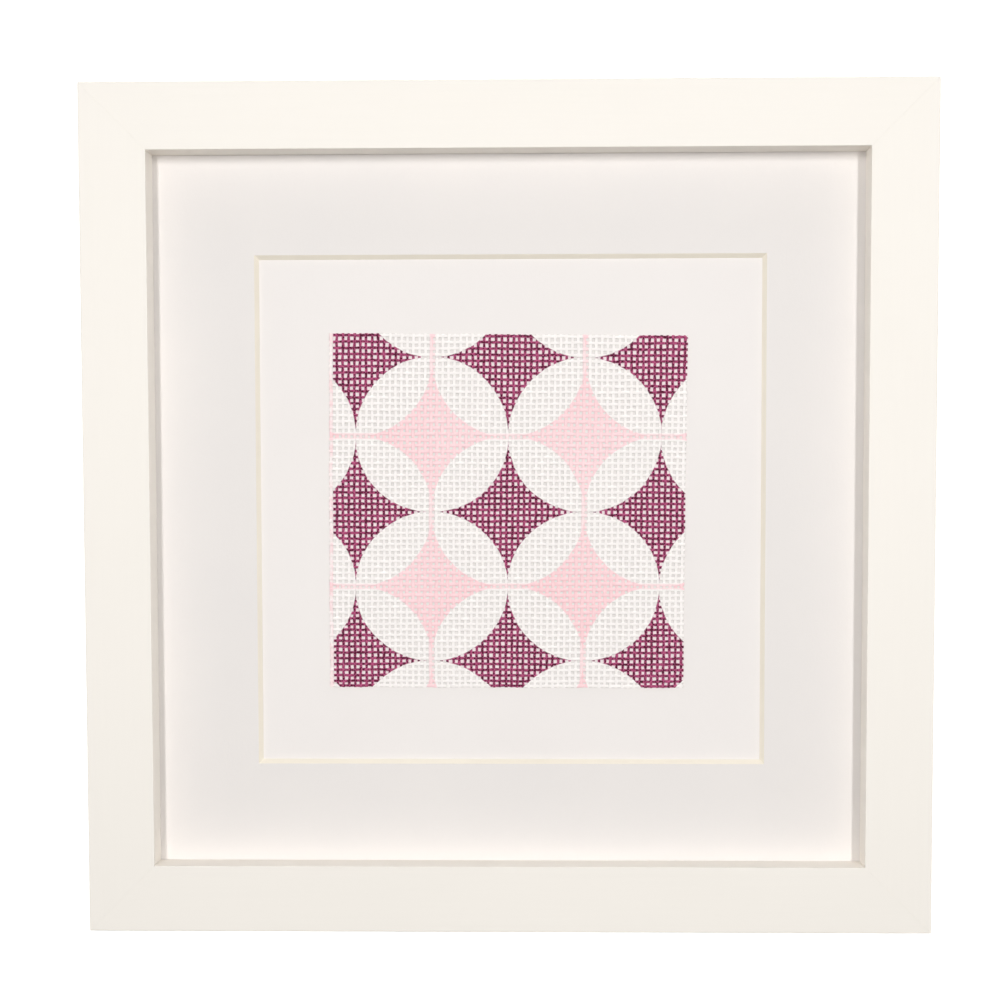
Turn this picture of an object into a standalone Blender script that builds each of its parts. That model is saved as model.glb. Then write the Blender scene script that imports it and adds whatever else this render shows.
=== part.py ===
"""Framed needlepoint canvas panel: a square of open-weave canvas on a board, behind a bevelled
window mount, in a white mitred frame. It lies on its back, with the picture facing +Z and its
top edge towards +Y. Metres."""

import bpy
import bmesh
from math import radians
from mathutils import Matrix, Vector

MM = 0.001

# Frame. SIGHT is the square seen between the rails, at the front face.
SIGHT = 235.5 * MM
FACE_WIDTH = 21.75 * MM
FRAME_DEPTH = 20.0 * MM
REBATE_WIDTH = 7.25 * MM
LIP_DEPTH = 10.5 * MM
OUTER_EDGE_RADIUS = 0.9 * MM
SIGHT_EDGE_RADIUS = 0.5 * MM
EDGE_SEGMENTS = 3

# Neighbouring pieces lie this far apart.
GAP = 0.3 * MM

# Boards, from the front to the back. The mount's window is wider at its front face.
BOARD_SIDE = SIGHT + 2 * REBATE_WIDTH - 2 * GAP
MOUNT_THICKNESS = 1.6 * MM
WINDOW_FRONT = 170.4 * MM
BEVEL_WIDTH = 1.6 * MM
BACKING_THICKNESS = 2.0 * MM
BACK_THICKNESS = 2.4 * MM

# Canvas: 60 spaces of a weave with 13 threads to the inch, and half a thread on each side.
MESH_PITCH = 25.4 * MM / 13
MESH_SPACES = 60
THREAD = 0.9 * MM
CANVAS_SIDE = MESH_SPACES * MESH_PITCH + THREAD
CANVAS_THICKNESS = 1.4 * MM

# Heights of each piece's back face.
MOUNT_Z = FRAME_DEPTH - LIP_DEPTH - GAP - MOUNT_THICKNESS
BACKING_Z = MOUNT_Z - GAP - BACKING_THICKNESS
BACK_Z = BACKING_Z - GAP - BACK_THICKNESS
CANVAS_Z = BACKING_Z + BACKING_THICKNESS + GAP

WHITE_PAINT = (0.86, 0.84, 0.80)
MOUNT_WHITE = (0.84, 0.82, 0.79)
BOARD_WHITE = (0.85, 0.83, 0.80)
CANVAS_COLOUR = (0.62, 0.36, 0.46)
FIBREBOARD = (0.42, 0.29, 0.18)


def clear_scene():
    for old in list(bpy.data.objects):
        bpy.data.objects.remove(old, do_unlink=True)


def new_collection(name):
    collection = bpy.data.collections.new(name)
    bpy.context.scene.collection.children.link(collection)
    return collection


def material(name, colour, roughness):
    made = bpy.data.materials.new(name)
    made.use_nodes = True
    shader = made.node_tree.nodes["Principled BSDF"]
    shader.inputs["Base Color"].default_value = (*colour, 1.0)
    shader.inputs["Roughness"].default_value = roughness
    shader.inputs["Metallic"].default_value = 0.0
    made.diffuse_color = (*colour, 1.0)
    return made


def object_from(bm, name, collection, look=None):
    mesh = bpy.data.meshes.new(name)
    bmesh.ops.recalc_face_normals(bm, faces=bm.faces)
    bm.to_mesh(mesh)
    bm.free()
    made = bpy.data.objects.new(name, mesh)
    collection.objects.link(made)
    if look:
        mesh.materials.append(look)
    return made


def block(side, thickness):
    """A square board with its back face at z = 0."""
    bm = bmesh.new()
    bmesh.ops.create_cube(bm, size=1.0)
    bmesh.ops.scale(bm, vec=(side, side, thickness), verts=bm.verts)
    bmesh.ops.translate(bm, vec=(0, 0, thickness / 2), verts=bm.verts)
    return bm


def board(name, side, thickness, back_z, collection, look):
    made = object_from(block(side, thickness), name, collection, look)
    made.location.z = back_z
    return made


def rail(name, turn_degrees, collection, look):
    """One side of the frame. Its section lies in the YZ plane with y outward from the sight edge.
    It is extruded along X, rounded at the two front edges and mitred at both ends."""
    half = SIGHT / 2
    reach = half + FACE_WIDTH
    ledge_z = FRAME_DEPTH - LIP_DEPTH
    bm = bmesh.new()
    outline = [
        (0.0, ledge_z),
        (REBATE_WIDTH, ledge_z),
        (REBATE_WIDTH, 0.0),
        (FACE_WIDTH, 0.0),
        (FACE_WIDTH, FRAME_DEPTH),
        (0.0, FRAME_DEPTH),
    ]
    corners = [bm.verts.new((-reach, half + y, z)) for y, z in outline]
    bm.faces.new(corners)
    for corner, radius in ((corners[4], OUTER_EDGE_RADIUS), (corners[5], SIGHT_EDGE_RADIUS)):
        bmesh.ops.bevel(
            bm,
            geom=[corner],
            offset=radius,
            offset_type="OFFSET",
            segments=EDGE_SEGMENTS,
            profile=0.5,
            affect="VERTICES",
        )
    grown = bmesh.ops.extrude_face_region(bm, geom=list(bm.faces))
    moved = [item for item in grown["geom"] if isinstance(item, bmesh.types.BMVert)]
    bmesh.ops.translate(bm, vec=(2 * reach, 0, 0), verts=moved)
    for end in (-1, 1):
        normal = Vector((end, -1, 0)).normalized()
        cut = bmesh.ops.bisect_plane(
            bm,
            geom=list(bm.verts) + list(bm.edges) + list(bm.faces),
            plane_co=-normal * GAP / 2,
            plane_no=normal,
            clear_outer=True,
        )
        rim = [item for item in cut["geom_cut"] if isinstance(item, bmesh.types.BMEdge)]
        bmesh.ops.edgeloop_fill(bm, edges=rim)
    bmesh.ops.rotate(bm, matrix=Matrix.Rotation(radians(turn_degrees), 3, "Z"), verts=bm.verts)
    return object_from(bm, name, collection, look)


def window_cutter(collection):
    """A square frustum along the window's bevel, run past both faces of the mount board."""
    past = 0.6 * MM
    slope = BEVEL_WIDTH / MOUNT_THICKNESS
    bm = block(WINDOW_FRONT, MOUNT_THICKNESS + 2 * past)
    front = WINDOW_FRONT + 2 * slope * past
    back = WINDOW_FRONT - 2 * BEVEL_WIDTH - 2 * slope * past
    for vert in bm.verts:
        size = front if vert.co.z > MOUNT_THICKNESS / 2 else back
        vert.co.x *= size / WINDOW_FRONT
        vert.co.y *= size / WINDOW_FRONT
    made = object_from(bm, "window_cutter", collection)
    made.location.z = MOUNT_Z - past
    made.hide_render = True
    made.display_type = "WIRE"
    return made


def cut(piece, cutter):
    boolean = piece.modifiers.new("window", "BOOLEAN")
    boolean.operation = "DIFFERENCE"
    boolean.solver = "EXACT"
    boolean.object = cutter


def build():
    clear_scene()
    parts = new_collection("framed_needlepoint_canvas_panel")
    cutters = new_collection("cutters")

    for name, turn in (("rail_top", 0), ("rail_left", 90), ("rail_bottom", 180), ("rail_right", 270)):
        rail(name, turn, parts, material(name, WHITE_PAINT, 0.4))

    mount = board(
        "mount_board", BOARD_SIDE, MOUNT_THICKNESS, MOUNT_Z, parts, material("mount_board", MOUNT_WHITE, 0.9)
    )
    cut(mount, window_cutter(cutters))
    board(
        "backing_board", BOARD_SIDE, BACKING_THICKNESS, BACKING_Z, parts, material("backing_board", BOARD_WHITE, 0.9)
    )
    board("back_board", BOARD_SIDE, BACK_THICKNESS, BACK_Z, parts, material("back_board", FIBREBOARD, 0.7))
    board(
        "canvas_panel", CANVAS_SIDE, CANVAS_THICKNESS, CANVAS_Z, parts, material("canvas_panel", CANVAS_COLOUR, 0.85)
    )


build()
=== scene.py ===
import math

import bmesh
import bpy
import numpy as np
from mathutils import Matrix, Vector


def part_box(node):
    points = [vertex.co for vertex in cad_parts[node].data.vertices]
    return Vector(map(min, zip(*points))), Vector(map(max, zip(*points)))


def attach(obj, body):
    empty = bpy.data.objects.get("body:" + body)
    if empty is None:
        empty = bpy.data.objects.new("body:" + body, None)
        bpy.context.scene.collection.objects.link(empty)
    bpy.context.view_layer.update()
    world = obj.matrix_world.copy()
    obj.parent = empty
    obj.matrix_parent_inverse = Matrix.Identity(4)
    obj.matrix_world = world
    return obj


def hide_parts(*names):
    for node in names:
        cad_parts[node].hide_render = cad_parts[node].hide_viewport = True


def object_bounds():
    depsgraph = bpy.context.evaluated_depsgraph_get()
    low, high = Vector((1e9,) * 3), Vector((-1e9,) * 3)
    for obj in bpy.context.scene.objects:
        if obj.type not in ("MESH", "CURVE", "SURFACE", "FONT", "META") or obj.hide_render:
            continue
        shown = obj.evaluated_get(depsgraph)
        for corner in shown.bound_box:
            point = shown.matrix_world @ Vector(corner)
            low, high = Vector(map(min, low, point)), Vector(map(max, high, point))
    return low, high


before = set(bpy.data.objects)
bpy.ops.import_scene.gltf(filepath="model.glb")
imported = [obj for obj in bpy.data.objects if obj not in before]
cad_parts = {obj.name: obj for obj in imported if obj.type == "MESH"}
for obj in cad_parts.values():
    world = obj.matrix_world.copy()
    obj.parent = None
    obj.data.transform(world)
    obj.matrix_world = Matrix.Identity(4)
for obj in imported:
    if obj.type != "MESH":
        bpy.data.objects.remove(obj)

cad_low, cad_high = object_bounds()

MM = 0.001
INCH = 25.4 * MM

# Sizes shared with the solids, read from their boxes
back_low, back_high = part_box("back_board")
OUTER = cad_high.x
FACE_Z = cad_high.z
BOARD_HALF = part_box("mount_board")[1].x

# Frame: half its opening, and the rebate that holds the boards
SIGHT = 117.5 * MM
FACE_WIDTH = OUTER - SIGHT
REBATE = 7.5 * MM
LEDGE_Z = 9.5 * MM

# Rounding of a rail's long edges
SIGHT_ARRIS = 0.25 * MM
OUTER_ARRIS = 0.6 * MM
LIP_ARRIS = 0.6 * MM
BACK_INNER_ARRIS = 0.3 * MM
BACK_OUTER_ARRIS = 0.5 * MM
ARRIS_SEGMENTS = 7
SHARP_ANGLE = math.radians(40)

# Mitres: half the hairline, the eased edge beside it, and the run of rings between two joints. The
# rows are steps of the edge, in shares of it: how far from the joint, and how far drawn in.
JOINT_GAP = 0.005 * MM
JOINT_EASE = 0.04 * MM
EASE_SHARES = ((0.0, 1.0), (0.35, 0.3), (1.0, 0.0))
FIRST_RING = 6 * JOINT_EASE
RUNS = 12

# Boards, seated on one another
MOUNT_GAP = 0.06 * MM
MOUNT_TOP = LEDGE_Z - MOUNT_GAP
MOUNT_THICKNESS = 1.6 * MM
WINDOW_HALF = 84.8 * MM
WINDOW_SHIFT = Vector((0.66, -0.08)) * MM
BEVEL = 1.38 * MM
BEVEL_FOOT = 0.02 * MM
PAPER_LIP = 0.12 * MM
PAPER_ROLL_IN = 0.10 * MM
PAPER_ROLL_DOWN = 0.03 * MM
BACKING_GAP = 0.02 * MM
BACKING_TOP = MOUNT_TOP - MOUNT_THICKNESS - BACKING_GAP
BACKING_THICKNESS = 2.0 * MM
BACKING_EASE = 0.08 * MM
BACK_EASE = 0.15 * MM

# Weave: 13 threads to the inch, counted from the middle one
PITCH = INCH / 13
HALF_COUNT = 30
STRANDS = 2 * HALF_COUNT + 1
THREAD_WIDTH = 1.08 * MM
THREAD_HEIGHT = 0.32 * MM
WAVE = 0.105 * MM
STEPS = 2
LIFT_OFF_BOARD = 0.03 * MM

# Strands that run up the cloth (0) and across it (1): how far their ends stick out, in threads,
# and the seed of their unevenness
DIRECTIONS = ((0, (0.28, 0.30), 0.7), (1, (0.26, 0.48), 4.1))

# A thread's section, flat above and below, and the way its surface faces at each corner
PROFILE = np.array([(1.0, 0.0), (0.62, 1.0), (-0.62, 1.0), (-1.0, 0.0), (-0.62, -1.0), (0.62, -1.0)])
FACING = np.array([(0.9, 0.436), (0.2, 0.98), (-0.2, 0.98), (-0.9, 0.436), (-0.3, -0.954), (0.3, -0.954)])
SIDES = len(PROFILE)

# A thread is pressed wider and flatter where it crosses another.
CROSSING_WIDER = 0.09
CROSSING_FLATTER = 0.2

# The share of a thread's slope that its shading shows, so that the weave looks soft
SLOPE_SHOWN = 0.25

# A point's height, for the paint: its place on the thread, and a little of the thread's wave
HEIGHT_ON_THREAD = 0.8
HEIGHT_IN_WAVE = 0.2

# The strands' maps: bands of twist round a strand and to each thread crossed, and the margin and
# width of a strand's lane, as shares of it, with the rows of its caps
BANDS_ROUND = 2.0
BANDS_ALONG = 1.9
LANE_MARGIN = 0.06
LANE_WIDTH = 0.88
CAP_ROWS = (0.001, 0.999)

# Circle repeat, in threads: circles of half the repeat, whose rims all but touch
REPEAT = 26.0
PLUM_RADIUS = 13.04
PLUM_SOFT = 0.07
PINK_RADIUS = 13.02
PINK_SOFT = 0.1
LINE_HALF = 0.48
LINE_STRENGTH = 0.62
COLUMN_SHIFT = 0.2
ROW_SHIFT = 0.6
HAND_WOBBLE = 0.22

# Where the plum begins, beside the first strand at the left
PLUM_STARTS = (0.28 - HALF_COUNT, 0.40 - HALF_COUNT)

# Lamps: place and size in metres, the size across the picture and up it, and power in watts
LAMPS = {
    "strip_left": ((-0.317, 0.21, 1.2), (0.09, 0.5), 6.7),
    "strip_right": ((0.415, 0.22, 1.2), (0.09, 0.5), 7.0),
    "softbox_left": ((-1.6, 0.0, 1.6), (1.6, 1.0), 3.4),
    "softbox_right": ((1.6, 0.0, 1.6), (1.6, 1.0), 3.1),
    "low_left": ((-2.1, 0.0, 0.6), (0.5, 1.6), 3.4),
    "low_right": ((2.1, 0.0, 0.6), (0.5, 1.6), 3.6),
    "low_top": ((0.0, 2.1, 0.6), (1.6, 0.5), 4.6),
    "low_bottom": ((0.0, -2.1, 0.6), (1.6, 0.5), 2.0),
}
LAMP_TARGET = Vector((0.0, 0.0, 0.01))
FLOOR_HALF = 60.0
FLOOR_GLOW = 0.66

# Room: the heights, as the sine of the angle above the floor, between which its pale walls end
WALLS_END = (0.08, 0.18)
WALLS_STRENGTH = 0.75
DOME_STRENGTH = 0.06

# Camera: sensor's width in millimetres, focal length and shift in widths of the picture, clip
# distances and place in metres, and tilt in radians
SENSOR = 36.0
FOCAL_LENGTH = 1.71346
SHIFT_X = -0.00926
SHIFT_Y = 0.07785
CLIP_START = 0.01
CLIP_END = 50.0
CAMERA_PLACE = Vector((11.95 * MM, 8.61 * MM, FACE_Z + 560.35 * MM))
CAMERA_TURNS = ((-0.0542, "X"), (0.0204, "Y"), (-0.0007, "Z"))


def rgb(r, g, b):
    return (r, g, b, 1.0)


# Paint on the wood
WOOD_PAINT = rgb(0.908, 0.864, 0.798)
WOOD_PAINT_PALE = rgb(0.920, 0.875, 0.809)
WOOD_PAINT_BRUSHED = rgb(0.80, 0.765, 0.71)

# Boards
CARD_SPECK = rgb(0.62, 0.58, 0.54)
FIBRE_DARK = rgb(0.235, 0.135, 0.070)
FIBRE_LIGHT = rgb(0.335, 0.215, 0.125)
FIBRE_SPECK = rgb(0.12, 0.065, 0.035)
FIBRE_PALE = rgb(0.40, 0.27, 0.16)

# Paint on the canvas, on top of a thread and at its sides. The shaded white is in part painted shade
# on the tops of white threads. The white and pink rims are painted shade round the openings, the plum
# rims are thin paint with a painted glow of the bright openings, and the bright plum gathers on the
# tops of threads as a painted highlight.
WHITE = rgb(1.0, 0.958, 0.932)
WHITE_SHADED = rgb(0.955, 0.908, 0.882)
WHITE_RIM_PAINTED_SHADE = rgb(0.60, 0.57, 0.545)
PINK = rgb(0.998, 0.748, 0.768)
PINK_DEEPER = rgb(0.995, 0.692, 0.715)
PINK_RIM_PAINTED_SHADE = rgb(0.96, 0.62, 0.64)
PINK_BLOT = rgb(0.98, 0.66, 0.69)
PLUM_DEEP = rgb(0.135, 0.011, 0.041)
PLUM_DEEPEST = rgb(0.042, 0.003, 0.013)
PLUM_BRIGHT = rgb(0.60, 0.126, 0.274)
PLUM_DULLER = rgb(0.42, 0.055, 0.152)
PLUM_RIM_THIN_PAINT_AND_GLOW = rgb(0.995, 0.63, 0.79)
BARE_COTTON = rgb(0.86, 0.82, 0.77)

# Studio
FLOOR_PAINT = rgb(0.90, 0.90, 0.89)
FLOOR_PAINT_PALE = rgb(0.92, 0.92, 0.91)
ROOM_COLOUR = rgb(1.0, 0.985, 0.965)


class Nodes:
    """Short calls for a material's node tree. Noise scales are in features to the metre."""

    def __init__(self, name):
        self.material = bpy.data.materials.new(name)
        self.material.use_nodes = True
        self.tree = self.material.node_tree
        self.shader = self.tree.nodes["Principled BSDF"]

    def link(self, source, socket):
        self.tree.links.new(source, socket)

    def put(self, socket, value):
        if isinstance(value, bpy.types.NodeSocket):
            self.link(value, socket)
        else:
            socket.default_value = value

    def node(self, kind, **settings):
        made = self.tree.nodes.new(kind)
        for key, value in settings.items():
            setattr(made, key, value)
        return made

    def math(self, operation, a, b=0.0, c=0.0):
        made = self.node("ShaderNodeMath", operation=operation)
        for socket, value in zip(made.inputs, (a, b, c)):
            self.put(socket, value)
        return made.outputs[0]

    def mix(self, factor, a, b):
        made = self.node("ShaderNodeMix", data_type="RGBA", clamp_factor=True)
        self.put(made.inputs[0], factor)
        self.put(made.inputs[6], a)
        self.put(made.inputs[7], b)
        return made.outputs[2]

    def place(self, scale=(1, 1, 1)):
        coordinates = self.node("ShaderNodeTexCoord").outputs["Object"]
        mapping = self.node("ShaderNodeMapping")
        mapping.inputs["Scale"].default_value = scale
        self.link(coordinates, mapping.inputs["Vector"])
        return mapping.outputs[0]

    def noise(self, vector, scale, detail=3.0, roughness=0.55):
        made = self.node("ShaderNodeTexNoise")
        self.link(vector, made.inputs["Vector"])
        made.inputs["Scale"].default_value = scale
        made.inputs["Detail"].default_value = detail
        made.inputs["Roughness"].default_value = roughness
        return made.outputs["Fac"]

    def spread(self, value, low, high, to_low=0.0, to_high=1.0):
        """Maps values between low and high to values between to_low and to_high, and no further."""
        made = self.node("ShaderNodeMapRange", clamp=True)
        for socket, number in zip(made.inputs, (value, low, high, to_low, to_high)):
            self.put(socket, number)
        return made.outputs[0]

    def bump(self, height, strength, distance, normal=None):
        made = self.node("ShaderNodeBump")
        made.inputs["Strength"].default_value = strength
        made.inputs["Distance"].default_value = distance
        self.link(height, made.inputs["Height"])
        if normal is not None:
            self.link(normal, made.inputs["Normal"])
        return made.outputs[0]

    def finish(self, colour, roughness, normal=None):
        self.put(self.shader.inputs["Base Color"], colour)
        self.put(self.shader.inputs["Roughness"], roughness)
        if normal is not None:
            self.link(normal, self.shader.inputs["Normal"])
        return self.material


def painted_wood(name, along):
    """White satin paint, with faint brush lines along the rail and a soft orange peel."""
    nodes = Nodes(name)
    stretch = (0.03, 1.0, 1.0) if along == "X" else (1.0, 0.03, 1.0)
    lines = nodes.noise(nodes.place(stretch), scale=900.0, detail=4.0, roughness=0.6)
    peel = nodes.noise(nodes.place(), scale=420.0, detail=2.0, roughness=0.5)
    cloud = nodes.noise(nodes.place(), scale=14.0, detail=3.0, roughness=0.5)
    colour = nodes.mix(nodes.spread(cloud, 0.3, 0.7), WOOD_PAINT, WOOD_PAINT_PALE)
    colour = nodes.mix(nodes.spread(lines, 0.35, 0.65, to_high=0.05), colour, WOOD_PAINT_BRUSHED)
    normal = nodes.bump(lines, strength=0.12, distance=0.03 * MM)
    normal = nodes.bump(peel, strength=0.15, distance=0.04 * MM, normal=normal)
    nodes.shader.inputs["Specular IOR Level"].default_value = 0.4
    return nodes.finish(colour, nodes.spread(peel, 0.3, 0.7, to_low=0.52, to_high=0.60), normal)


def card(name, light, dark, fibre=1.0):
    """Paper-faced board: short fibres and a soft mottle."""
    nodes = Nodes(name)
    fine = nodes.noise(nodes.place(), scale=2600.0, detail=3.0, roughness=0.6)
    fibres = nodes.noise(nodes.place((1.0, 0.35, 1.0)), scale=1100.0, detail=4.0, roughness=0.7)
    cloud = nodes.noise(nodes.place(), scale=22.0, detail=3.0, roughness=0.5)
    colour = nodes.mix(nodes.spread(cloud, 0.3, 0.7), light, dark)
    colour = nodes.mix(nodes.spread(fine, 0.55, 0.75, to_high=0.06 * fibre), colour, CARD_SPECK)
    normal = nodes.bump(fine, strength=0.35 * fibre, distance=0.06 * MM)
    normal = nodes.bump(fibres, strength=0.3 * fibre, distance=0.08 * MM, normal=normal)
    nodes.shader.inputs["Specular IOR Level"].default_value = 0.2
    return nodes.finish(colour, nodes.spread(fibres, 0.3, 0.7, to_low=0.84, to_high=0.95), normal)


def fibreboard(name):
    """Brown fibreboard with a pressed, speckled face."""
    nodes = Nodes(name)
    speck = nodes.noise(nodes.place(), scale=1700.0, detail=4.0, roughness=0.75)
    fibres = nodes.noise(nodes.place((1.0, 0.25, 1.0)), scale=620.0, detail=5.0, roughness=0.7)
    cloud = nodes.noise(nodes.place(), scale=18.0, detail=4.0, roughness=0.6)
    colour = nodes.mix(nodes.spread(fibres, 0.3, 0.7), FIBRE_DARK, FIBRE_LIGHT)
    colour = nodes.mix(nodes.spread(speck, 0.55, 0.8, to_high=0.6), colour, FIBRE_SPECK)
    colour = nodes.mix(nodes.spread(cloud, 0.3, 0.75, to_high=0.3), colour, FIBRE_PALE)
    normal = nodes.bump(fibres, strength=0.4, distance=0.1 * MM)
    normal = nodes.bump(speck, strength=0.4, distance=0.08 * MM, normal=normal)
    return nodes.finish(colour, nodes.spread(fibres, 0.3, 0.7, to_low=0.62, to_high=0.8), normal)


def circle_repeat(nodes, column, row, wander):
    """Masks of the interlocking circles, worked out in thread counts: the plum diamonds, the pink
    diamonds with the thin lines that join them, and the blots of pink on the first strand at the
    left, which the plum doesn't reach."""
    wobble = nodes.math("MULTIPLY", nodes.math("SUBTRACT", wander, 0.5), HAND_WOBBLE)

    def folded(value, shift):
        turned = nodes.math("WRAP", nodes.math("SUBTRACT", value, shift), REPEAT / 2, -REPEAT / 2)
        return nodes.math("ABSOLUTE", turned)

    def distance(x, y):
        squares = nodes.math("ADD", nodes.math("MULTIPLY", x, x), nodes.math("MULTIPLY", y, y))
        return nodes.math("ADD", nodes.math("SQRT", squares), wobble)

    from_plum_x = folded(column, COLUMN_SHIFT)
    from_plum_y = folded(row, ROW_SHIFT)
    from_pink_x = nodes.math("SUBTRACT", REPEAT / 2, from_plum_x)
    from_pink_y = nodes.math("SUBTRACT", REPEAT / 2, from_plum_y)
    to_plum = distance(from_plum_x, from_plum_y)
    to_pink = distance(from_pink_x, from_pink_y)

    painted = nodes.spread(column, *PLUM_STARTS)
    outside = nodes.spread(to_pink, PLUM_RADIUS - PLUM_SOFT, PLUM_RADIUS + PLUM_SOFT)
    plum = nodes.math("MULTIPLY", outside, painted)
    diamond = nodes.spread(to_plum, PINK_RADIUS - PINK_SOFT, PINK_RADIUS + PINK_SOFT)
    from_line = nodes.math("MINIMUM", from_pink_x, from_pink_y)
    line = nodes.spread(from_line, LINE_HALF - PINK_SOFT, LINE_HALF + PINK_SOFT, to_low=1.0, to_high=0.0)
    pink = nodes.math("MAXIMUM", diamond, nodes.math("MULTIPLY", line, LINE_STRENGTH))
    blots = nodes.spread(wander, 0.42, 0.6, to_low=0.15, to_high=0.6)
    return plum, pink, nodes.math("MULTIPLY", blots, nodes.math("SUBTRACT", 1.0, painted))


def thread_colours(nodes, column, row, height, fuzz):
    """White, pink and plum paint as it lies on a thread, with painted light and shade. Less of it reaches
    the sides: the plum has pale rims round the openings, thin paint with a painted glow of the bright
    openings, while the grey rims in the white and the deeper pink ones in the pink are painted shade.
    The tops of white threads are painted a little darker as painted shade, and bright plum gathers on
    the tops as a painted highlight."""
    high = nodes.spread(height, 0.6, 1.0)
    nap = nodes.spread(fuzz, 0.35, 0.7)
    # Painted shade: the tops of white threads a little darker, over a random fuzz
    shade = nodes.math("ADD", nodes.spread(fuzz, 0.4, 0.75, to_high=0.25), nodes.math("MULTIPLY", high, 0.3))
    white = nodes.mix(shade, WHITE, WHITE_SHADED)
    cloud = nodes.noise(nodes.place(), scale=12.0, detail=1.0, roughness=0.5)
    pink = nodes.mix(nodes.spread(cloud, 0.35, 0.65), PINK, PINK_DEEPER)
    speck = nodes.noise(nodes.place(), scale=1500.0, detail=2.0, roughness=0.6)
    # Bright plum specks, more of them on the tops of threads as a painted highlight, the deep plum left lower
    flecks_and_painted_highlight = nodes.math("MULTIPLY", nodes.spread(high, 0.0, 1.0, to_low=0.5), nodes.spread(speck, 0.45, 0.55))
    deep = nodes.mix(nap, PLUM_DEEP, PLUM_DEEPEST)
    bright = nodes.mix(nap, PLUM_BRIGHT, PLUM_DULLER)
    plum = nodes.mix(flecks_and_painted_highlight, deep, bright)

    # How far a point lies along its thread from a crossing, where no rims are painted
    from_column = nodes.math("PINGPONG", column, 0.5)
    from_row = nodes.math("PINGPONG", row, 0.5)
    from_crossing = nodes.math("MINIMUM", from_column, from_row)
    # Painted shade round the openings: grey on white threads and deeper pink on pink ones, on their low sides
    # away from the crossings
    low_side = nodes.spread(height, 0.15, 0.65, to_low=0.9, to_high=0.0)
    painted_shade_rim = nodes.math("MULTIPLY", low_side, nodes.spread(from_crossing, 0.17, 0.26))
    # Pale plum rims on the low sides: paint thin there, and a painted glow of the bright openings over the
    # dark thread
    lower_side = nodes.spread(height, 0.25, 0.70, to_low=1.0, to_high=0.0)
    plum_thin_paint_and_glow_rim = nodes.math("MULTIPLY", lower_side, nodes.spread(from_crossing, 0.10, 0.19))
    white = nodes.mix(painted_shade_rim, white, WHITE_RIM_PAINTED_SHADE)
    pink = nodes.mix(painted_shade_rim, pink, PINK_RIM_PAINTED_SHADE)
    return white, pink, nodes.mix(plum_thin_paint_and_glow_rim, plum, PLUM_RIM_THIN_PAINT_AND_GLOW)


def canvas_paint(name):
    """Sized cotton thread under brushed colour. Each strand carries its place in the attribute weave:
    x and y in thread counts from the middle, and z as height, from -1 under a thread to 1 on top."""
    nodes = Nodes(name)
    attribute = nodes.node("ShaderNodeAttribute", attribute_name="weave", attribute_type="GEOMETRY")
    parts = nodes.node("ShaderNodeSeparateXYZ")
    nodes.link(attribute.outputs["Vector"], parts.inputs[0])
    column, row, height = parts.outputs
    wander = nodes.noise(nodes.place(), scale=260.0, detail=2.0, roughness=0.5)
    fuzz = nodes.noise(nodes.place(), scale=2400.0, detail=3.0, roughness=0.7)

    plum_mask, pink_mask, blots = circle_repeat(nodes, column, row, wander)
    white, pink, plum = thread_colours(nodes, column, row, height, fuzz)
    colour = nodes.mix(pink_mask, white, pink)
    colour = nodes.mix(blots, colour, PINK_BLOT)
    colour = nodes.mix(plum_mask, colour, plum)
    underneath = nodes.spread(height, -0.6, -0.2, to_low=0.6, to_high=0.0)
    colour = nodes.mix(underneath, colour, BARE_COTTON)

    strand = nodes.node("ShaderNodeUVMap", uv_map="strand").outputs[0]
    twist = nodes.node("ShaderNodeTexWave", wave_type="BANDS", bands_direction="DIAGONAL", wave_profile="SIN")
    nodes.link(strand, twist.inputs["Vector"])
    for socket, number in (("Scale", 1.0), ("Distortion", 0.6), ("Detail", 1.0)):
        twist.inputs[socket].default_value = number
    normal = nodes.bump(twist.outputs["Fac"], strength=0.35, distance=0.08 * MM)
    normal = nodes.bump(fuzz, strength=0.35, distance=0.04 * MM, normal=normal)
    nodes.shader.inputs["Specular IOR Level"].default_value = 0.25
    return nodes.finish(colour, nodes.spread(fuzz, 0.3, 0.7, to_low=0.72, to_high=0.88), normal)


def new_object(name, mesh, materials):
    made = bpy.data.objects.new(name, mesh)
    bpy.context.scene.collection.objects.link(made)
    for item in materials:
        mesh.materials.append(item)
    return made


def from_bmesh(name, bm, materials, turn=0.0):
    """A new piece from a closed form, turned about the picture's middle by so many degrees."""
    bmesh.ops.recalc_face_normals(bm, faces=bm.faces)
    bmesh.ops.rotate(bm, verts=bm.verts, matrix=Matrix.Rotation(math.radians(turn), 3, "Z"))
    mesh = bpy.data.meshes.new(name)
    bm.to_mesh(mesh)
    bm.free()
    return new_object(name, mesh, materials)


def settle(piece, node):
    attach(piece, "root")
    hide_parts(node)


def rounded(outline, segments):
    """A closed 2-D outline whose corners are turned into arcs. Its rows are x, y and radius."""
    result = []
    count = len(outline)
    for k, (x, y, radius) in enumerate(outline):
        here = Vector((x, y))
        if radius == 0.0:
            result.append(here)
            continue
        before = (Vector(outline[k - 1][:2]) - here).normalized()
        after = (Vector(outline[(k + 1) % count][:2]) - here).normalized()
        centre = here + (before + after) * radius
        for step in range(segments + 1):
            angle = math.pi / 2 * step / segments
            result.append(centre - after * radius * math.cos(angle) - before * radius * math.sin(angle))
    return result


def join_rings(bm, rings, slots):
    """Faces between rings of as many points. Each band has its own material slot."""
    for first, second, slot in zip(rings, rings[1:], slots):
        count = len(first)
        for k in range(count):
            following = (k + 1) % count
            face = bm.faces.new((first[k], first[following], second[following], second[k]))
            face.material_index = slot


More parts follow.
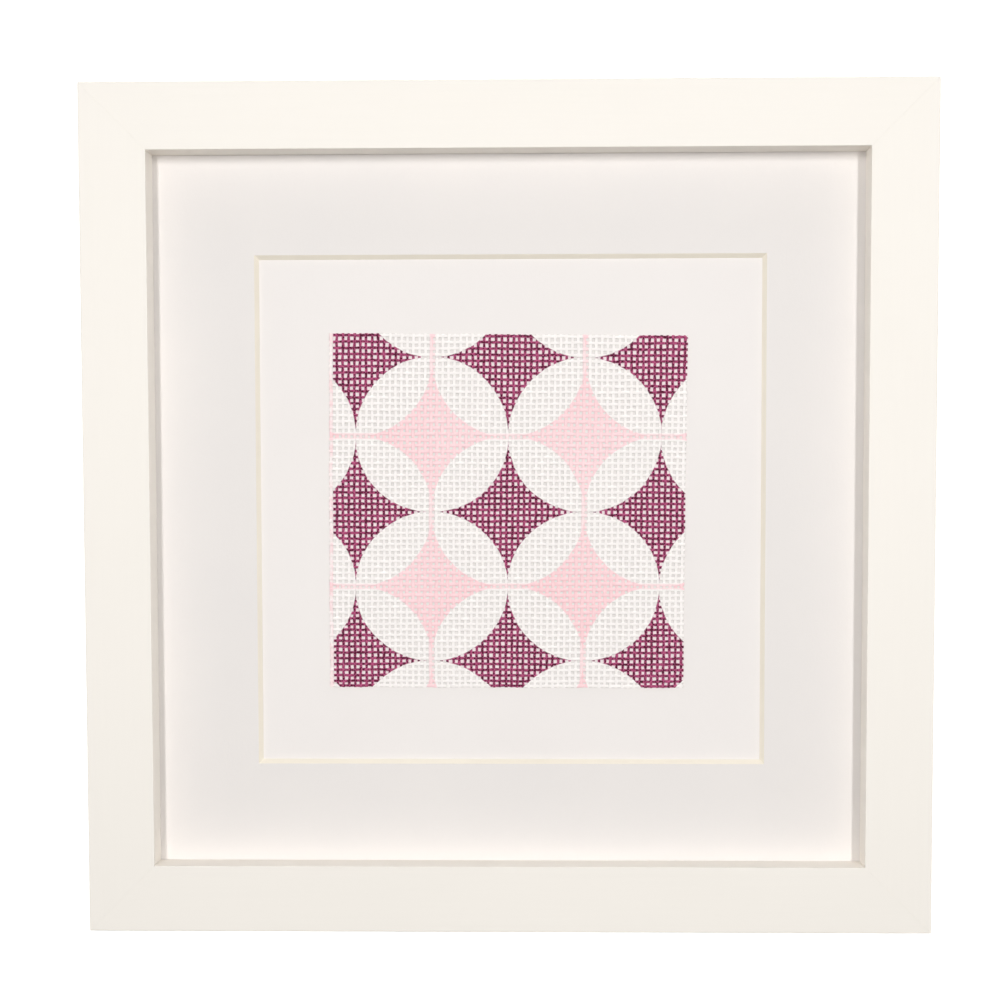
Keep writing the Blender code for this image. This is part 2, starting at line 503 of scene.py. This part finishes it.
def rail(name, turn, material):
    """One mitred side of the frame, its arrises rounded over, with a hairline at each joint."""
    outline = [
        (0.0, LEDGE_Z, LIP_ARRIS),
        (REBATE, LEDGE_Z, 0.0),
        (REBATE, 0.0, BACK_INNER_ARRIS),
        (FACE_WIDTH, 0.0, BACK_OUTER_ARRIS),
        (FACE_WIDTH, FACE_Z, OUTER_ARRIS),
        (0.0, FACE_Z, SIGHT_ARRIS),
    ]
    section = rounded(outline, ARRIS_SEGMENTS)
    middle = Vector((sum(p.x for p in section) / len(section), sum(p.y for p in section) / len(section)))

    def ring(end, along, shrink):
        """The section at a distance along from one end's joint, drawn in by shrink."""
        made = []
        for point in section:
            moved = point + (middle - point).normalized() * shrink
            reach = SIGHT + moved.x - JOINT_GAP - along
            made.append((end * reach, SIGHT + moved.x, moved.y))
        return made

    eased = [(along * JOINT_EASE, shrink * JOINT_EASE) for along, shrink in EASE_SHARES]
    rings = [ring(-1, along, shrink) for along, shrink in eased]
    left, right = ring(-1, FIRST_RING, 0.0), ring(1, FIRST_RING, 0.0)
    for step in range(RUNS + 1):
        rings.append([tuple(Vector(a).lerp(Vector(b), step / RUNS)) for a, b in zip(left, right)])
    rings += [ring(1, along, shrink) for along, shrink in reversed(eased)]

    bm = bmesh.new()
    rows = [[bm.verts.new(place) for place in one] for one in rings]
    join_rings(bm, rows, [0] * (len(rows) - 1))
    bm.faces.new(rows[0][::-1])
    bm.faces.new(rows[-1])
    made = from_bmesh(name, bm, [material], turn)
    made.data.shade_smooth()
    made.data.set_sharp_from_angle(angle=SHARP_ANGLE)
    # Shading follows the large flat faces, so that only the arrises look round.
    weighted = made.modifiers.new("face_weight", "WEIGHTED_NORMAL")
    weighted.keep_sharp = True
    return made


def square_ring(bm, half, z, shift=(0.0, 0.0)):
    corners = ((-1, -1), (1, -1), (1, 1), (-1, 1))
    return [bm.verts.new((x * half + shift[0], y * half + shift[1], z)) for x, y in corners]


def mount_board(face_material, core_material):
    """The window mount: white paper on its faces and a cream core where the window is cut."""
    paper_slot, core_slot = 0, 1
    top, bottom = MOUNT_TOP, MOUNT_TOP - MOUNT_THICKNESS
    # Half size, height, and the material from there to the next row
    levels = [
        (BOARD_HALF, top, paper_slot),
        (WINDOW_HALF + PAPER_ROLL_IN, top, paper_slot),
        (WINDOW_HALF, top - PAPER_ROLL_DOWN, core_slot),
        (WINDOW_HALF - PAPER_LIP, top - PAPER_LIP, core_slot),
        (WINDOW_HALF - BEVEL, bottom + BEVEL_FOOT, core_slot),
        (WINDOW_HALF - BEVEL + BEVEL_FOOT, bottom, paper_slot),
        (BOARD_HALF, bottom, core_slot),
    ]
    bm = bmesh.new()
    rings = []
    for half, z, _ in levels:
        shift = (0.0, 0.0) if half == BOARD_HALF else WINDOW_SHIFT
        rings.append(square_ring(bm, half, z, shift))
    rings.append(rings[0])
    join_rings(bm, rings, [shown for _, _, shown in levels])
    return from_bmesh("window_mount", bm, [face_material, core_material])


def board(name, half, low, high, eased, material):
    """A square board with slightly eased edges."""
    bm = bmesh.new()
    levels = [(half - eased, high), (half, high - eased), (half, low + eased), (half - eased, low)]
    rings = [square_ring(bm, size, z) for size, z in levels]
    join_rings(bm, rings, (0, 0, 0))
    bm.faces.new(rings[0])
    bm.faces.new(rings[-1][::-1])
    return from_bmesh(name, bm, [material])


def settled(column, row):
    """Where a crossing of the weave lies, in thread counts from the middle. The stretched cloth is a
    little out of true. Each value is a shift in threads at its edge: off, of the whole; wide and
    short, from its size; lean, across its sides; fan, where the sides aren't parallel; bow, where
    they curve; skew, where they curve more at one end; tight, towards the bottom."""
    u, v = column / HALF_COUNT, row / HALF_COUNT
    off_x, wide_x, lean_x, fan_x, bow_x = -0.32, 0.02, 0.225, 0.08, 0.055
    x = column + off_x + wide_x * u + lean_x * v + fan_x * u * v + bow_x * v**2
    off_y, lean_y, short_y, fan_y = -0.82, -0.05, -0.545, -0.11
    bow_y, skew_y, tight_y = 0.515, -0.145, 0.51
    y = row + off_y + lean_y * u + short_y * v + fan_y * u * v + bow_y * v**2 + skew_y * u * v**2
    y = y + tight_y * v**3
    # Small ripples, as sines so that each run gives the same, and a last row that sits higher
    ripple, last_row_up = 0.03, 0.2
    x = x + ripple * np.sin(column * 0.9 + 1.3) + ripple * np.sin(row * 0.31 + column * 0.11)
    y = y + ripple * np.sin(row * 0.8 + 0.4) + ripple * np.sin(column * 0.37 - row * 0.09)
    return x, y + last_row_up * np.clip(-row - HALF_COUNT + 1, 0, 1)


def wavering(index, along, seed):
    """A strand's own small drift to the side, in thread counts, and its swelling."""
    phase = index * 2.399 + seed
    drift = 0.035 * np.sin(along * 0.83 + phase) + 0.025 * np.sin(along * 1.9 + 2.1 * phase)
    swell = 1.0 + 0.06 * np.sin(along * 1.37 + 1.7 * phase) + 0.05 * np.sin(along * 3.1 + phase)
    return drift, swell


def strands(across, ends, seed):
    """All the strands of one direction as rings of points, over and under in turn. across is 0 for
    strands that run up the cloth and 1 for those that run across it. Gives each point's place, its
    place in thread counts and the way it faces, in arrays of strand, ring and side."""
    inner = np.arange(-HALF_COUNT * STEPS, HALF_COUNT * STEPS + 1) / STEPS
    along = np.concatenate([[-HALF_COUNT - ends[0]], inner, [HALF_COUNT + ends[1]]])
    index, travel = np.meshgrid(np.arange(STRANDS) - float(HALF_COUNT), along, indexing="ij")
    drift, swell = wavering(index, travel, seed)
    column, row = (index + drift, travel) if across == 0 else (travel, index + drift)
    x, y = settled(column, row)

    over = np.where((index + HALF_COUNT) % 2 == 0, 1.0, -1.0) * (1.0 if across == 0 else -1.0)
    wave = over * np.cos(np.pi * (travel + HALF_COUNT))
    slope = -over * np.pi * np.sin(np.pi * (travel + HALF_COUNT)) * WAVE / PITCH
    length = np.sqrt(1 + slope**2)
    level = BACKING_TOP + LIFT_OFF_BOARD + WAVE + THREAD_HEIGHT / 2 * (1.0 - CROSSING_FLATTER)

    half_width = THREAD_WIDTH / 2 * swell * (1.0 + CROSSING_WIDER * np.abs(wave))
    half_height = THREAD_HEIGHT / 2 * (1.0 - CROSSING_FLATTER * np.abs(wave))
    side = PROFILE[:, 0] * half_width[..., None]
    lift = PROFILE[:, 1] * half_height[..., None]
    lean = -lift * (slope / length)[..., None]
    shift = np.stack([side, lean] if across == 0 else [lean, side], axis=-1)
    sideways = np.broadcast_to(FACING[:, 0], lift.shape)
    upward = FACING[:, 1] / length[..., None]
    tipped = -SLOPE_SHOWN * upward * slope[..., None]
    normals = np.stack([sideways, tipped, upward] if across == 0 else [tipped, sideways, upward], axis=-1)

    heights = PROFILE[:, 1] * HEIGHT_ON_THREAD + wave[..., None] * HEIGHT_IN_WAVE
    centre = np.stack([x, y], axis=-1)[:, :, None, :] * PITCH
    counted = np.stack([column, row], axis=-1)[:, :, None, :]
    z = (level + wave * WAVE)[..., None] + lift / length[..., None]
    places = np.concatenate([centre + shift, z[..., None]], axis=-1)
    weave = np.concatenate([counted + shift / PITCH, heights[..., None]], axis=-1)
    return places, weave, normals, along


def tube_faces(offset, rings):
    """The points of one direction's side faces, and of its first and last rings, counted from offset."""
    start = offset + (np.arange(STRANDS) * rings * SIDES)[:, None, None]
    ring = (np.arange(rings - 1) * SIDES)[None, :, None]
    side = np.arange(SIDES)
    following = (side + 1) % SIDES
    corners = [ring + side, ring + following, ring + SIDES + following, ring + SIDES + side]
    quads = np.stack([start + one for one in corners], axis=-1).reshape(-1, 4)
    first = start[:, 0] + side
    return quads, first, first + (rings - 1) * SIDES


def lane_place(strand, turn):
    return (strand + LANE_MARGIN + LANE_WIDTH * turn / SIDES) / (2 * STRANDS)


def strand_maps(across, along):
    """Two maps of one direction: one follows each strand, for its twist, and one lays the strands
    out side by side, in lanes. The third result is the caps' place in the lanes."""
    spans = len(along) - 1
    side = np.arange(SIDES)
    strand = np.repeat(np.arange(STRANDS), spans * SIDES)[:, None] + across * STRANDS
    at_ring = np.tile(np.repeat(np.arange(spans), SIDES), STRANDS)[:, None] + np.array([0, 0, 1, 1])
    turn = np.tile(side, STRANDS * spans)[:, None] + np.array([0, 1, 1, 0])
    run = along[at_ring]
    twisted = np.stack([turn / SIDES * BANDS_ROUND + run * BANDS_ALONG, np.zeros_like(run)], axis=-1)
    lane = np.stack([lane_place(strand, turn), (run - along[0]) / (along[-1] - along[0])], axis=-1)
    cap_strand = np.tile(np.arange(STRANDS), 2)[:, None] + across * STRANDS
    cap_lane = np.zeros((2 * STRANDS, SIDES, 2))
    cap_lane[..., 0] = lane_place(cap_strand, side)
    cap_lane[..., 1] = np.repeat(CAP_ROWS, STRANDS)[:, None]
    return twisted, lane, cap_lane


def mesh_of(name, places, quads, caps):
    """A mesh with four-sided faces, and caps that have as many sides as a thread."""
    mesh = bpy.data.meshes.new(name)
    loops = np.concatenate([quads.reshape(-1), caps.reshape(-1)]).astype(np.int32)
    starts = np.concatenate([np.arange(len(quads)) * 4, quads.size + np.arange(len(caps)) * SIDES])
    mesh.vertices.add(len(places))
    mesh.vertices.foreach_set("co", places.astype(np.float32).reshape(-1))
    mesh.loops.add(len(loops))
    mesh.loops.foreach_set("vertex_index", loops)
    mesh.polygons.add(len(starts))
    mesh.polygons.foreach_set("loop_start", starts.astype(np.int32))
    mesh.update(calc_edges=True)
    mesh.validate()
    return mesh


def woven(across, ends, seed, offset):
    """One direction's strands as arrays of points, faces and maps. The faces count points from offset."""
    places, weave, normals, along = strands(across, ends, seed)
    quads, first, last = tube_faces(offset, len(along))
    twist, lane, cap_lane = strand_maps(across, along)
    # The two directions are wound the opposite way round, so that every face looks outwards.
    if across == 0:
        quads, twist, lane = quads[:, ::-1], twist[:, ::-1], lane[:, ::-1]
        last = last[:, ::-1]
        cap_lane[STRANDS:] = cap_lane[STRANDS:, ::-1]
    else:
        first = first[:, ::-1]
        cap_lane[:STRANDS] = cap_lane[:STRANDS, ::-1]
    return {
        "places": places.reshape(-1, 3),
        "weave": weave.reshape(-1, 3),
        "normals": normals.reshape(-1, 3),
        "quads": quads,
        "caps": np.concatenate([first, last]),
        "twist": twist.reshape(-1, 2),
        "lane": lane.reshape(-1, 2),
        "cap_lane": cap_lane.reshape(-1, 2),
    }


def cloth(name, material):
    """The whole open weave as closed tubes, one for each thread."""
    directions = []
    offset = 0
    for across, ends, seed in DIRECTIONS:
        directions.append(woven(across, ends, seed, offset))
        offset += len(directions[-1]["places"])
    whole = {key: np.concatenate([one[key] for one in directions]) for key in directions[0]}

    mesh = mesh_of(name, whole["places"], whole["quads"], whole["caps"])
    carried = mesh.attributes.new("weave", "FLOAT_VECTOR", "POINT")
    carried.data.foreach_set("vector", whole["weave"].astype(np.float32).reshape(-1))
    maps = {
        "strand": (whole["twist"], np.zeros_like(whole["cap_lane"])),
        "OFBake": (whole["lane"], whole["cap_lane"]),
    }
    for uv_name, values in maps.items():
        layer = mesh.uv_layers.new(name=uv_name)
        layer.data.foreach_set("uv", np.concatenate(values).astype(np.float32).reshape(-1))
    smooth = np.concatenate([np.ones(len(whole["quads"]), bool), np.zeros(len(whole["caps"]), bool)])
    mesh.polygons.foreach_set("use_smooth", smooth)
    mesh.update()
    mesh.normals_split_custom_set_from_vertices(whole["normals"])
    return new_object(name, mesh, [material])


def floor():
    bm = bmesh.new()
    bmesh.ops.create_grid(bm, x_segments=1, y_segments=1, size=FLOOR_HALF)
    mesh = bpy.data.meshes.new("floor")
    bm.to_mesh(mesh)
    bm.free()
    nodes = Nodes("floor_paint")
    cloud = nodes.noise(nodes.place(), scale=3.0, detail=2.0)
    nodes.finish(nodes.mix(nodes.spread(cloud, 0.3, 0.7), FLOOR_PAINT, FLOOR_PAINT_PALE), roughness=0.9)
    nodes.shader.inputs["Emission Color"].default_value = rgb(1.0, 1.0, 1.0)
    nodes.shader.inputs["Emission Strength"].default_value = FLOOR_GLOW
    made = new_object("floor", mesh, [nodes.material])


def aimed(place, target):
    """The turn of a lamp to its target, with its width across the picture and its length up it."""
    back = (Vector(place) - target).normalized()
    side = Vector((0.0, 1.0, 0.0)).cross(back).normalized()
    return Matrix((side, back.cross(side), back)).transposed().to_quaternion()


def area_light(name, place, size, power):
    lamp = bpy.data.lights.new(name, "AREA")
    lamp.shape = "RECTANGLE"
    lamp.size, lamp.size_y = size
    lamp.energy = power
    made = bpy.data.objects.new(name, lamp)
    made.location = place
    made.rotation_mode = "QUATERNION"
    made.rotation_quaternion = aimed(place, LAMP_TARGET)
    bpy.context.scene.collection.objects.link(made)


def studio():
    """A dim room with pale walls round the floor, up to a few degrees above it."""
    world = bpy.data.worlds.new("studio")
    world.use_nodes = True
    tree = world.node_tree
    background = tree.nodes["Background"]
    background.inputs["Color"].default_value = ROOM_COLOUR
    parts = tree.nodes.new("ShaderNodeSeparateXYZ")
    walls = tree.nodes.new("ShaderNodeMapRange")
    walls.interpolation_type = "SMOOTHSTEP"
    for socket, number in zip(walls.inputs[1:5], (*WALLS_END, WALLS_STRENGTH, DOME_STRENGTH)):
        socket.default_value = number
    tree.links.new(tree.nodes.new("ShaderNodeTexCoord").outputs["Generated"], parts.inputs[0])
    tree.links.new(parts.outputs["Z"], walls.inputs["Value"])
    tree.links.new(walls.outputs[0], background.inputs["Strength"])
    bpy.context.scene.world = world


def camera():
    """Above the picture's middle and slightly tipped, with a shifted frame."""
    lens = bpy.data.cameras.new("camera")
    lens.sensor_width = SENSOR
    lens.lens = SENSOR * FOCAL_LENGTH
    lens.shift_x = SHIFT_X
    lens.shift_y = SHIFT_Y
    lens.clip_start = CLIP_START
    lens.clip_end = CLIP_END
    made = bpy.data.objects.new("camera", lens)
    made.location = CAMERA_PLACE
    turn = Matrix.Identity(3)
    for angle, axis in CAMERA_TURNS:
        turn = turn @ Matrix.Rotation(angle, 3, axis)
    made.rotation_mode = "QUATERNION"
    made.rotation_quaternion = turn.to_quaternion()
    bpy.context.scene.collection.objects.link(made)
    bpy.context.scene.camera = made


paint_across = painted_wood("white_paint_across", "X")
paint_up = painted_wood("white_paint_up", "Y")
paper = card("mount_paper", light=rgb(0.845, 0.805, 0.775), dark=rgb(0.826, 0.789, 0.763))
core = card("mount_core", light=rgb(0.893, 0.832, 0.722), dark=rgb(0.868, 0.804, 0.690), fibre=1.2)
white_card = card("backing_paper", light=rgb(0.890, 0.848, 0.820), dark=rgb(0.875, 0.833, 0.806))
brown = fibreboard("brown_fibreboard")
cotton = canvas_paint("painted_canvas")

rails = (
    ("top", 0, paint_across),
    ("left", 90, paint_up),
    ("bottom", 180, paint_across),
    ("right", 270, paint_up),
)
for side, turn, look in rails:
    settle(rail(f"frame_{side}", turn, look), f"rail_{side}")

mount = mount_board(paper, core)
settle(mount, "mount_board")

backing_low = BACKING_TOP - BACKING_THICKNESS
backing = board("canvas_backing", BOARD_HALF, backing_low, BACKING_TOP, BACKING_EASE, white_card)
settle(backing, "backing_board")

closing = board("frame_back", back_high.x, back_low.z, back_high.z, BACK_EASE, brown)
settle(closing, "back_board")

canvas = cloth("canvas_weave", cotton)
settle(canvas, "canvas_panel")

floor()
studio()
for name, (place, size, power) in LAMPS.items():
    area_light(name, place, size, power)
camera()
bpy.context.scene.view_settings.view_transform = "Standard"
bpy.context.scene.view_settings.look = "None"
